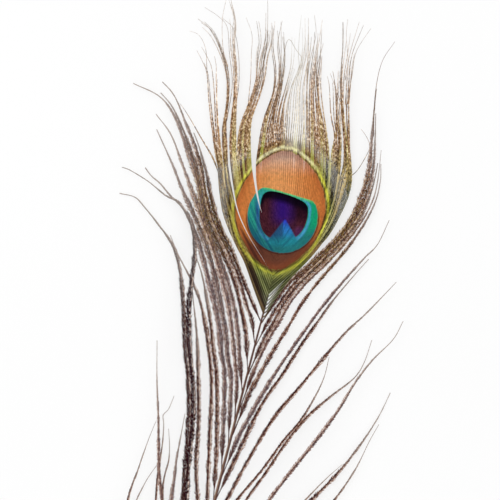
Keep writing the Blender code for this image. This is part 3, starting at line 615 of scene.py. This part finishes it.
def herl_finish():
    """Loose barbs: maroon-brown barbules with painted tan highlights, one side paler, grey at the tips."""
    material, place = new_material("herl_brown")
    tone, fleck, along, across = attributes(place, "tone", "fleck", "along", "across")
    depth, reach = attributes(place, "depth", "reach")
    mottle = patches(place, 0.95, 2)
    second = (tone * 5.77).maths("FRACT")
    dark_side = across * (second.rise(0.45, 0.55) * 2 - 1)
    stripe = reach.band(0.5, 0.4) * 0.3 - dark_side * 0.18
    light = mottle * 0.62 + fleck * 0.24 + stripe + (tone - 0.5) * 0.18 - 0.22
    near_eye = split_place(place)[1].rise(38, 62) * along.rise(0.85, 0.5)
    # The pale tan coat, where the lightness is highest, is a painted highlight on the barbules
    brown = light.rise(0.08, 0.52).between((54, 25, 24), (124, 88, 72)).coated(
        ((202, 184, 172), light.rise(0.45, 0.95)),
        ((120, 108, 112), second.rise(0.5, 0.9) * (1 - depth) * 0.3),
        ((158, 134, 62), near_eye * fleck.rise(0.3, 0.8) * 0.5),
        ((38, 8, 14), depth * light.rise(0.8, 0.5)),
        ((166, 156, 148), along.rise(0.65, 0.95) * 0.7),
        ((66, 36, 32), along.rise(0.1, 0.03) * 0.8))
    return finished(material, {"Base Color": brown.scaled(1.1), "Roughness": mottle * 0.2 + 0.55,
                               "Specular IOR Level": 0.04})


def shaft_finish():
    """Horn of the shaft: dark reddish brown, a painted highlight on its left flank, paler at the cut end.
    """
    material, place = new_material("shaft_horn")
    x, y = split_place(place)
    stretched = place.node("ShaderNodeMapping", {}, {0: place, 3: (6, 0.35, 6)})
    grain = noise(stretched, 1, 3)
    # The pale tan on the left flank is a painted highlight; the pale cut end is the horn's own colour
    horn = grain.rise(0.3, 0.75).between((58, 30, 26), (104, 66, 50)).coated(
        ((184, 152, 124), x.rise(0.1, -0.5) * y.rise(20, -30) * 0.6),
        ((212, 196, 170), y.rise(-60, -150) * 0.6))
    bump = place.node("ShaderNodeBump", {}, {"Strength": 0.25, "Distance": 0.0001, "Height": grain})
    return finished(material, {"Base Color": horn, "Roughness": grain * 0.2 + 0.35, "Normal": bump,
                               "Specular IOR Level": 0.35})


def floor_finish():
    """White floor, lit a little from below as on a light table."""
    material, place = new_material("floor_white")
    cloud = noise(place, 0.004, 1).between((150, 150, 150), (154, 154, 154))
    return finished(material, {"Base Color": cloud, "Roughness": 0.9, "Specular IOR Level": 0.1,
                               "Emission Color": (1, 1, 1, 1), "Emission Strength": 0.62})


def stored(field, name):
    """A number that a barb's points hold."""
    return field.node("GeometryNodeInputNamedAttribute", {"data_type": "FLOAT"}, {"Name": name})


def store(geometry, name, value, domain, kind="FLOAT"):
    """Store a named number on the geometry."""
    return geometry.node("GeometryNodeStoreNamedAttribute", {"data_type": kind, "domain": domain},
                         {"Geometry": geometry, "Name": name, "Value": value})


def position_x(field):
    """The x of each point."""
    position = field.node("GeometryNodeInputPosition", {}, {})
    return field.node("ShaderNodeSeparateXYZ", {}, {0: position})


def random_value(field, low, high, seed):
    """A random number for each point."""
    return field.node("FunctionNodeRandomValue", {"data_type": "FLOAT"}, {2: low, 3: high, 8: seed}, 1)


def joined(parts):
    """Several geometries as one."""
    whole = parts[0].node("GeometryNodeJoinGeometry", {}, {0: parts[0]})
    for part in parts[1:]:
        fill(whole.socket.node, {0: part})
    return whole


def barbule_blade(field):
    """One barbule of length 1 along +X: two cones of three sides, base to base, as one closed shape."""
    halves = []
    for bottom, top, start, end in ((0, 0.5, 0, BLADE_SHOULDER), (0.5, 0, BLADE_SHOULDER, 1)):
        half = field.node("GeometryNodeMeshCone", {"fill_type": "NONE"},
                          {"Vertices": 3, "Radius Top": top, "Radius Bottom": bottom,
                           "Depth": end - start})
        halves.append(field.node("GeometryNodeTransform", {},
                                 {"Geometry": half, "Translation": (start, 0, 0),
                                  "Rotation": (0, math.pi / 2, 0)}))
    whole = field.node("GeometryNodeMergeByDistance", {}, {"Geometry": joined(halves), "Distance": 0.001})
    return store(whole, "reach", position_x(field), "POINT")


def with_flat_map(geometry):
    """Lay the piece's own map flat, as it is seen from above."""
    box = geometry.node("GeometryNodeBoundBox", {}, {0: geometry})
    low, high = [Field(box.socket.node.outputs[corner]) for corner in ("Min", "Max")]
    position = geometry.node("GeometryNodeInputPosition", {}, {})
    share = position.vector("SUBTRACT", low).vector("DIVIDE", high.vector("SUBTRACT", low))
    return store(geometry, "OFBake", share, "CORNER", "FLOAT2")


def dressing_tree():
    """Geometry nodes that give each barb a ridged ribbon and two rows of pointed barbules."""
    tree = bpy.data.node_groups.new("dressed_barbs", "GeometryNodeTree")
    inputs = {"Geometry": "Geometry", **dict.fromkeys(DRESSING_SIZES, "Float"), "Seed": "Int",
              "Finish": "Material"}
    for label, kind in inputs.items():
        tree.interface.new_socket(label, in_out="INPUT", socket_type="NodeSocket" + kind)
    tree.interface.new_socket("Geometry", in_out="OUTPUT", socket_type="NodeSocketGeometry")
    outlets = tree.nodes.new("NodeGroupInput").outputs
    inlet = {socket.name: Field(socket) for socket in outlets if socket.name}
    first = inlet["Geometry"]
    curve = first.node("GeometryNodeMeshToCurve", {}, {0: first})
    curve = first.node("GeometryNodeSetCurveNormal", {"mode": "Z_UP"}, {0: curve})

    profile = first.node("GeometryNodeCurvePrimitiveQuadrilateral", {"mode": "KITE"},
                         {"Width": 2, "Bottom Height": inlet["Ridge"], "Top Height": inlet["Ridge"]})
    profile = store(profile, "across", position_x(first), "POINT")
    ribbon = first.node("GeometryNodeCurveToMesh", {},
                        {"Curve": curve, "Profile Curve": profile, "Scale": stored(first, "half_width"),
                         "Fill Caps": True})
    parts = [store(ribbon, "fleck", 0.4, "POINT")]

    stations = first.node("GeometryNodeResampleCurve", {"mode": "LENGTH"},
                          {"Curve": curve, "Length": inlet["Spacing"]})
    tangent = first.node("GeometryNodeInputTangent", {}, {})
    normal = first.node("GeometryNodeInputNormal", {}, {})
    upward = first.node("ShaderNodeCombineXYZ", {}, {2: inlet["Lift"]})
    blade = barbule_blade(first)
    for row, side in enumerate((-1, 1)):
        angle = inlet["Angle"] + random_value(first, -0.16, 0.16, inlet["Seed"] + (row * 3 + 1))
        forward = tangent.scaled(angle.maths("COSINE"))
        sideways = normal.scaled(angle.maths("SINE") * side)
        turned = first.node("FunctionNodeAxesToRotation", {"primary_axis": "X", "secondary_axis": "Z"},
                            {"Primary Axis": forward.vector("ADD", sideways).vector("ADD", upward),
                             "Secondary Axis": (0, 0, 1)})
        length = stored(first, "fluff") * random_value(first, 0.7, 1.15, inlet["Seed"] + (row * 3 + 2))
        size = first.node("ShaderNodeCombineXYZ", {},
                          {0: length, 1: inlet["Barbule Width"], 2: inlet["Barbule Width"] * 0.5})
        barbules = first.node("GeometryNodeInstanceOnPoints", {},
                              {"Points": stations, "Instance": blade, "Rotation": turned, "Scale": size})
        shade = random_value(first, 0, 1, inlet["Seed"] + (row * 3 + 3))
        barbules = store(barbules, "fleck", shade, "INSTANCE")
        parts.append(store(barbules, "across", side, "INSTANCE"))

    whole = first.node("GeometryNodeRealizeInstances", {}, {0: joined(parts)})
    whole = first.node("GeometryNodeSetMaterial", {},
                       {"Geometry": with_flat_map(whole), "Material": inlet["Finish"]})
    fill(tree.nodes.new("NodeGroupOutput"), {"Geometry": whole})
    return tree


def add_object(name, data):
    """A new object in the scene."""
    added = bpy.data.objects.new(name, data)
    bpy.context.scene.collection.objects.link(added)
    return added


def show(piece, node):
    """The piece stands for the node of the part and rides with it."""
    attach(piece, "root")
    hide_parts(node)


def settle(piece):
    """Turn a piece with modifiers into a plain mesh."""
    graph = bpy.context.evaluated_depsgraph_get()
    mesh = bpy.data.meshes.new_from_object(piece.evaluated_get(graph))
    piece.modifiers.clear()
    piece.data = mesh


def barb(points, half_width, fluff, tone, along, depth=0):
    """One barb: places in millimetres, and the numbers stored on its points."""
    count = len(points)
    return {"points": points,
            "half_width": np.broadcast_to(half_width, count) * MM,
            "fluff": np.broadcast_to(fluff, count) * MM,
            "tone": np.full(count, tone),
            "along": np.broadcast_to(along, count),
            "depth": np.full(count, depth)}


def dress(node, label, barbs, finish, seed, sizes):
    """Make one piece of barbs, with its barbules, in place of a node of the part."""
    places = np.vstack([item["points"] for item in barbs]) * MM
    edges = []
    start = 0
    for item in barbs:
        ends = np.arange(start, start + len(item["points"]))
        edges.append(np.stack([ends[:-1], ends[1:]], axis=1))
        start += len(item["points"])
    name = f"{node}_{label}"
    mesh = bpy.data.meshes.new(name)
    mesh.from_pydata(places.tolist(), np.vstack(edges).tolist(), [])
    for key in ("half_width", "fluff", "tone", "along", "depth"):
        layer = mesh.attributes.new(key, "FLOAT", "POINT")
        layer.data.foreach_set("value", np.concatenate([item[key] for item in barbs]).astype(np.float32))
    piece = add_object(name, mesh)
    modifier = piece.modifiers.new("dressing", "NODES")
    modifier.node_group = DRESSING
    values = {**dict(zip(DRESSING_SIZES, sizes)), "Seed": seed, "Finish": finish}
    for socket in DRESSING.interface.items_tree:
        if socket.in_out == "INPUT" and socket.name in values:
            modifier[socket.identifier] = values[socket.name]
    settle(piece)
    show(piece, node)


def build_shaft():
    """Tapered horn of the shaft, which rises into the eye until its crown is level with the vane."""
    path = smooth_route(SHAFT_ROUTE, SHAFT_RINGS)
    part = np.linspace(0, 1, SHAFT_RINGS)
    radius = SHAFT_BUTT_RADIUS + (SHAFT_TIP_RADIUS - SHAFT_BUTT_RADIUS) * part
    height = shaft_lift(path[:, 1]) + SHAFT_FLAT * radius
    vane = eye_height(path[:, 0], path[:, 1]) - SHAFT_BELOW_VANE
    height = height + (vane - height) * smooth_step(*SHAFT_RISE, path[:, 1])
    angles = np.radians(SECTION_START - np.arange(SHAFT_SIDES) * SECTION_TURN / (SHAFT_SIDES - 1))
    places = []
    for (x, y), z, r in zip(path, height, radius):
        for angle in angles:
            places.append((x + r * math.cos(angle), y, z + r * max(math.sin(angle), -SHAFT_FLAT)))
    faces = []
    for start in range(0, len(places) - SHAFT_SIDES, SHAFT_SIDES):
        for side in range(SHAFT_SIDES):
            here = start + side
            there = start + (side + 1) % SHAFT_SIDES
            faces.append((here, there, there + SHAFT_SIDES, here + SHAFT_SIDES))
    faces.append(tuple(reversed(range(SHAFT_SIDES))))
    faces.append(tuple(range(len(places) - SHAFT_SIDES, len(places))))
    mesh = bpy.data.meshes.new("shaft_horn")
    mesh.from_pydata([tuple(c * MM for c in place) for place in places], [], faces)
    for polygon in mesh.polygons:
        polygon.use_smooth = len(polygon.vertices) == 4
    mesh.materials.append(shaft_finish())
    show(add_object("shaft_horn", mesh), "shaft")


def fine_tip(start_z, tip_z, route):
    """A stray tip: a thin stem with short barbules."""
    path = smooth_route(route, max(16, int(path_length(np.array(route)))))
    part = np.linspace(0, 1, len(path))
    points = np.column_stack([path, start_z + (tip_z - start_z) * part])
    return barb(points, 0.14 - 0.09 * part, 0.2 - 0.1 * part, rng.random(), part)


def build_herls(side, finish):
    """Loose barbs: each a thin stem with a dense row of barbules on both of its sides."""
    for number, (width, rise, tip_z, foot_y, onwards) in enumerate(HERLS[side], start=1):
        name = f"herl_{side}_{number:02d}"
        knots = np.array([(HERL_FOOT_X[side], foot_y), *onwards])
        step = knots[1] - knots[0]
        back = knots[0] - step * (abs(knots[0, 0]) - 0.3) / max(abs(step[0]), 0.5)
        length = path_length(knots)
        path = smooth_route(knots, max(24, int(length)))
        root_z = ROOT_Z + shaft_lift(foot_y)
        part = np.linspace(0, 1, len(path))
        height = root_z + (tip_z - root_z) * part ** 2 + 4 * rise * part * (1 - part)
        points = np.column_stack([path, np.maximum(height, HERL_LOWEST)])
        points = np.vstack([[*back, root_z - 0.1], points])
        part = np.concatenate([[-0.01], part])
        foot = smooth_step(0, 1.6 * (HERL_BARE / length), part)
        half_width = HERL_STEM * (0.8 + 0.2 * foot) * (1 - 0.8 * smooth_step(0.5, 0.95, part))
        stations = np.arange(0, length + 3, TUFT_SPACING)
        tufts = np.interp(part * length, stations, rng.uniform(0.72, 1.2, len(stations)))
        full = 1 + HERL_SWELL[side][number - 1] * smooth_step(0.2, 0.4, part)
        fluff = HERL_FULL[side][number - 1] * (width / 1.5) * tufts * (0.4 + 1.42 * foot) * full \
            * (1 - 0.86 * smooth_step(0.6, 1, part))
        strands = [barb(points, half_width, fluff, rng.random(), np.clip(part, 0, 1),
                        HERL_DEPTH[side].get(number, 0))]
        if name in HERL_TIPS:
            strands.append(fine_tip(points[-1, 2], *HERL_TIPS[name]))
        dress(name, "barb", strands, finish, 100 + number, HERL_SIZES)


def plate_barbs(guides, count, left_gap, right_gap):
    """Routes of a plate's barbs from the shaft to its top edge, and half their spacing."""
    lines = [smooth_route(guide, GUIDE_POINTS) for guide in guides]
    share = (np.arange(count) + 0.5) / count
    if len(lines) == 2:
        weights = [1 - share, share]
    else:
        weights = [2 * (share - 0.5) * (share - 1), 4 * share * (1 - share),
                   2 * share * (share - 0.5)]
    routes = sum(weight[:, None, None] * line[None] for weight, line in zip(weights, lines))
    over = lines[-1] - lines[0]
    over = over / np.maximum(np.linalg.norm(over, axis=1), 1e-6)[:, None]
    left = np.interp(lines[0][:, 1], *left_gap) / 2
    right = np.interp(lines[-1][:, 1], *right_gap) / 2
    inset = left[None] * (1 - share)[:, None] - right[None] * share[:, None]
    routes = routes + inset[..., None] * over[None]
    apart = np.gradient(routes, axis=0)
    ahead = np.gradient(routes, axis=1)
    ahead = ahead / np.linalg.norm(ahead, axis=2, keepdims=True)
    half = np.abs(apart[..., 0] * ahead[..., 1] - apart[..., 1] * ahead[..., 0]) / 2
    return routes, half


def edge_strands():
    """Fine barbs beside the foot of the vane's right edge, each one merging into the edge further up."""
    foot_y, onwards = HERLS["right"][0][3:]
    edge = smooth_route(RIGHT_EDGE[:5], 40)
    beside = smooth_route([(HERL_FOOT_X["right"], foot_y), *onwards[:4]], 40)
    part = np.linspace(0, 1, len(edge))
    shown = np.append(0, part)
    strands = []
    for number in range(EDGE_STRANDS):
        away = (number + 0.6) / EDGE_STRANDS * (1 - part)[:, None]
        flat = edge + (beside - edge) * away
        flat = np.vstack([[0.2, flat[0, 1] - 1.2], flat])
        height = np.append(ROOT_Z + shaft_lift(flat[0, 1]), eye_height(flat[1:, 0], flat[1:, 1]) - 0.1)
        strands.append(barb(np.column_stack([flat, height]), 0.2 - 0.1 * shown, 0.5 - 0.3 * shown,
                            number * 0.37 % 1, 0))
    return strands


def lock_path(number):
    """Places along the middle of a crest lock, with their heights."""
    tip_z, route = CREST_LOCKS[number - 1]
    path = smooth_route(route, LOCK_POINTS)
    part = np.linspace(0, 1, LOCK_POINTS)
    foot_z = eye_height(*route[0])
    return np.column_stack([path, foot_z + (tip_z - foot_z) * part ** 1.5])


def web_line(route):
    """Places of one barb of the vane, from inside the shaft to the vane's edge."""
    height = eye_height(route[:, 0], route[:, 1]) + rng.normal(0, 0.03)
    step = route[3] - route[0]
    root = route[0] - step * (abs(route[0, 0]) + 0.15) / max(abs(step[0]), 0.3)
    return np.vstack([[*root, height[0]], np.column_stack([route, height])])


def crest_run(end, number, reach):
    """Places of one free tip of the crest, from the vane's edge on along its lock."""
    path = lock_path(number)
    part = np.linspace(0.1, 1, TIP_POINTS) * reach
    grid = np.linspace(0, 1, LOCK_POINTS)
    middle = np.stack([np.interp(part, grid, line) for line in path.T], axis=1)
    beyond = np.maximum(part - 1, 0)[:, None] * path_length(path)
    last = (path[-1] - path[-6]) / np.linalg.norm(path[-1] - path[-6])
    middle = middle + beyond * last
    ahead = np.gradient(middle[:, :2], axis=0)
    ahead = ahead / np.linalg.norm(ahead, axis=1)[:, None]
    aside = np.column_stack([ahead[:, 1], -ahead[:, 0]])
    gather = smooth_step(0, 0.6, part)
    stay = 1 - 0.5 * gather
    spread = rng.normal(0, 1.5) * part ** 2
    wave = rng.normal(0, 0.55) * np.sin(part * rng.uniform(4, 8) + rng.uniform(0, 6)) * part
    offset = end[:2] - path[0, :2]
    flat = middle[:, :2] + offset * stay[:, None] + aside * (spread + wave)[:, None]
    height = end[2] + (middle[:, 2] - end[2]) * gather + rng.normal(0, 0.25) * part
    return np.column_stack([flat, np.maximum(height, 0.15)])


def web_and_tip(web, run, spacing, tone):
    """One barb as two: its part in the vane, and the free tip that runs on from the vane's edge."""
    web_length = path_length(web)
    whole = np.vstack([web[::4], web[-1:], run])
    total = path_length(whole)
    path = smooth_route(whole, int(total / BARB_STEP))
    cut = int(round((len(path) - 1) * web_length / total))
    a, b = eye_upright(path[:, 0], path[:, 1])
    here = np.linspace(0, 1, len(path))
    part = np.clip((here - here[cut]) / (1 - here[cut]), 0, 1)
    free = (0.24 + 0.1 * tone) * (1 - 0.8 * part)
    in_web = np.interp(here / here[cut], np.linspace(0, 1, len(spacing)), spacing) * OVERLAP
    width = in_web + (free - in_web) * smooth_step(0, 0.12, part)
    sparse = 1 - 0.5 * (smooth_step(24.5, 31, b) * (1 - smooth_step(2.5, 6, np.abs(a - 5.9))))
    width = width * sparse
    rho = round_share(a, b, OVAL_HALF, OVAL_POWER)
    width = width * (1 - 0.36 * smooth_step(1.08, 1.3, rho) * smooth_step(-24, -8, b))
    web_fluff = in_web * WEB_FLUFF
    fluff = web_fluff + ((1 - 0.84 * part) - web_fluff) * smooth_step(0, 0.15, part)
    fluff = fluff * sparse
    return (barb(path[:cut + 1], width[:cut + 1], fluff[:cut + 1], tone, 0),
            barb(path[cut:], width[cut:], fluff[cut:], tone, part[cut:]))


def build_vane_and_crest(vane_finish, crest_finish):
    """Barbs of the vane, each one running on as a free tip in its lock of the crest."""
    tips = {number: [] for number in range(1, len(CREST_LOCKS) + 1)}
    for index, (name, count, left_gap, right_gap, guides, locks) in enumerate(PLATES):
        routes, half = plate_barbs(guides, count, left_gap, right_gap)
        webs = []
        for place, (route, spacing) in enumerate(zip(routes, half)):
            number = next(lock for lock, last in locks.items() if (place + 0.5) / count <= last)
            line = web_line(route)
            run = crest_run(line[-1], number, rng.uniform(0.66, 1.06))
            draw = rng.random()
            tone = draw if place % 2 == 0 or count > MOST_IN_PAIRS else tone + 0.012 * draw
            web, tip = web_and_tip(line, run, spacing, tone)
            webs.append(web)
            tips[number].append(tip)
        if name == "eye_plate_right":
            webs += edge_strands()
        dress(name, "barbs", webs, vane_finish, 10 + index, VANE_SIZES)
    for number, tip_z, route in WISPS:
        tips[number].append(fine_tip(lock_path(number)[0, 2], tip_z, route))
    for number, barbs in tips.items():
        dress(f"crest_lock_{number:02d}", "barbs", barbs, crest_finish, 40 + number, CREST_SIZES)


def build_floor():
    """Plain pale floor."""
    mesh = bpy.data.meshes.new("floor")
    mesh.from_pydata([(-2, -2, 0), (2, -2, 0), (2, 2, 0), (-2, 2, 0)], [], [(0, 1, 2, 3)])
    mesh.materials.append(floor_finish())
    add_object("floor", mesh)


def build_light_and_camera():
    """Soft even light from all round, and the camera straight above."""
    scene = bpy.context.scene
    scene.view_settings.view_transform = "Standard"
    scene.world = bpy.data.worlds.new("studio")
    scene.world.use_nodes = True
    fill(scene.world.node_tree.nodes["Background"], {"Color": (1, 1, 1, 1), "Strength": 1.04})
    lamp = bpy.data.lights.new("softbox", "AREA")
    lamp.shape = "DISK"
    lamp.size = 1.2
    lamp.energy = 3
    softbox = add_object("softbox", lamp)
    softbox.location = (-0.5, 0.35, 1.1)
    softbox.rotation_euler = (math.radians(-17), math.radians(-24), 0)
    data = bpy.data.cameras.new("camera")
    data.lens = LENS
    data.sensor_width = SENSOR
    camera = add_object("camera", data)
    camera.location = (FRAME_CENTRE[0] * MM, FRAME_CENTRE[1] * MM, FRAME_WIDTH * MM * LENS / SENSOR)
    camera.rotation_euler = (0, 0, LEAN)
    scene.camera = camera


DRESSING = dressing_tree()
build_shaft()
build_vane_and_crest(eye_finish("eye_barbs", 0.75, 0.36, 0.45), eye_finish("crest_barbs", 0.6, 0.42, 0.1))
herl_brown = herl_finish()
for herl_side in HERLS:
    build_herls(herl_side, herl_brown)
build_floor()
build_light_and_camera()
